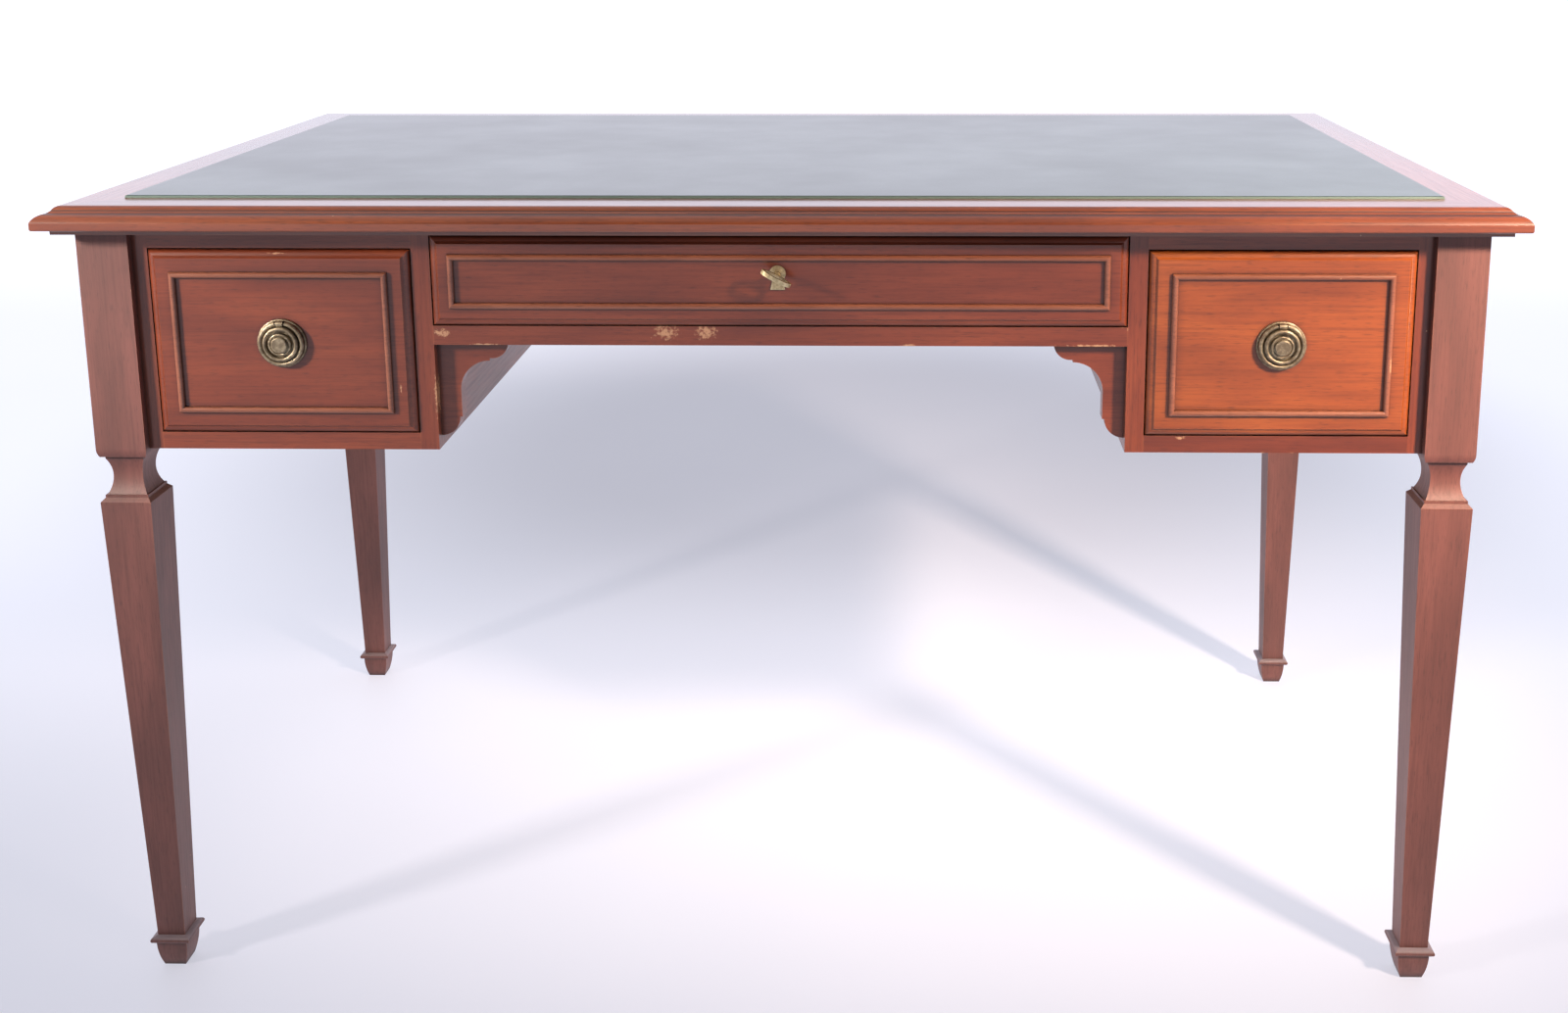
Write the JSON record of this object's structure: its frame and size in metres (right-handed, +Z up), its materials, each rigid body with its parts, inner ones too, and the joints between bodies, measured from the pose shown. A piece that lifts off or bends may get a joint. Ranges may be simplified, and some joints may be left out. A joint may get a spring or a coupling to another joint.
{
  "type": "office desk",
  "caption": "Mahogany writing desk with a moulded top and leather panel, tapered legs on spade feet, side drawers with ring pulls and a locking centre drawer.",
  "frame": {"origin": "on the floor below the middle of the top", "axes": "+X along the length to the right as seen from the front, +Y to the back, +Z up; the drawers face -Y"},
  "size_m": [1.33, 0.74, 0.7775],
  "materials": {
    "mahogany": "satin varnish",
    "carcase_wood": "bare",
    "drawer_wood": "bare",
    "leather": "satin",
    "antique_brass": "aged, satin",
    "steel": "plain"
  },
  "bodies": {
    "desk": {"top_front_rail": "mahogany", "top_back_rail": "mahogany", "top_left_rail": "mahogany", "top_right_rail": "mahogany", "top_panel": "mahogany", "leg_front_left": "mahogany", "leg_front_right": "mahogany", "leg_back_left": "mahogany", "leg_back_right": "mahogany", "foot_front_left": "mahogany", "foot_front_right": "mahogany", "foot_back_left": "mahogany", "foot_back_right": "mahogany", "left_side_apron": "mahogany", "right_side_apron": "mahogany", "back_apron": "mahogany", "centre_rail": "mahogany", "left_outer_stile": "mahogany", "left_inner_stile": "mahogany", "left_top_rail": "mahogany", "left_bottom_rail": "mahogany", "left_partition": "mahogany", "left_bracket": "mahogany", "right_outer_stile": "mahogany", "right_inner_stile": "mahogany", "right_top_rail": "mahogany", "right_bottom_rail": "mahogany", "right_partition": "mahogany", "right_bracket": "mahogany", "drawer_runners": "carcase_wood", "drawer_kickers": "carcase_wood", "corner_blocks": "carcase_wood", "leather_panel": "leather", "top_screws": "steel"},
    "left_drawer": {"left_drawer_front": "mahogany", "left_drawer_bead": "mahogany", "left_drawer_sides": "drawer_wood", "left_drawer_back": "drawer_wood", "left_drawer_bottom": "drawer_wood", "left_pull_rosette": "antique_brass", "left_pull_bolt": "steel"},
    "left_pull": {"left_pull_ring": "antique_brass"},
    "right_drawer": {"right_drawer_front": "mahogany", "right_drawer_bead": "mahogany", "right_drawer_sides": "drawer_wood", "right_drawer_back": "drawer_wood", "right_drawer_bottom": "drawer_wood", "right_pull_rosette": "antique_brass", "right_pull_bolt": "steel"},
    "right_pull": {"right_pull_ring": "antique_brass"},
    "centre_drawer": {"centre_drawer_front": "mahogany", "centre_drawer_bead": "mahogany", "centre_drawer_sides": "drawer_wood", "centre_drawer_back": "drawer_wood", "centre_drawer_bottom": "drawer_wood", "centre_lock_case": "steel", "centre_escutcheon": "antique_brass"},
    "key": {"centre_key": "antique_brass"},
    "lock_bolt": {"centre_lock_bolt": "steel"}
  },
  "joints": [
    {"name": "left_drawer_slide", "type": "slide", "parent": "desk", "child": "left_drawer", "axis": [0, -1, 0], "range_m": [0, 0.4]},
    {"name": "right_drawer_slide", "type": "slide", "parent": "desk", "child": "right_drawer", "axis": [0, -1, 0], "range_m": [0, 0.4]},
    {"name": "centre_drawer_slide", "type": "slide", "parent": "desk", "child": "centre_drawer", "axis": [0, -1, 0], "range_m": [0, 0.4]},
    {"name": "left_pull_swing", "type": "hinge", "parent": "left_drawer", "child": "left_pull", "pos_m": [-0.456, -0.345, 0.66413], "axis": [-1, 0, 0], "range_deg": [0, 110]},
    {"name": "right_pull_swing", "type": "hinge", "parent": "right_drawer", "child": "right_pull", "pos_m": [0.456, -0.345, 0.66413], "axis": [-1, 0, 0], "range_deg": [0, 110]},
    {"name": "key_turn", "type": "hinge", "parent": "centre_drawer", "child": "key", "pos_m": [0, -0.341, 0.7116], "axis": [0, -1, 0], "range_deg": [-62, 118]},
    {"name": "bolt_throw", "type": "slide", "parent": "centre_drawer", "child": "lock_bolt", "axis": [0, 0, 1], "range_m": [-0.00276, 0.00524]}
  ],
  "couplings": [
    {"joint": "bolt_throw", "follows": "key_turn", "m_per_rad": 0.0025465}
  ]
}
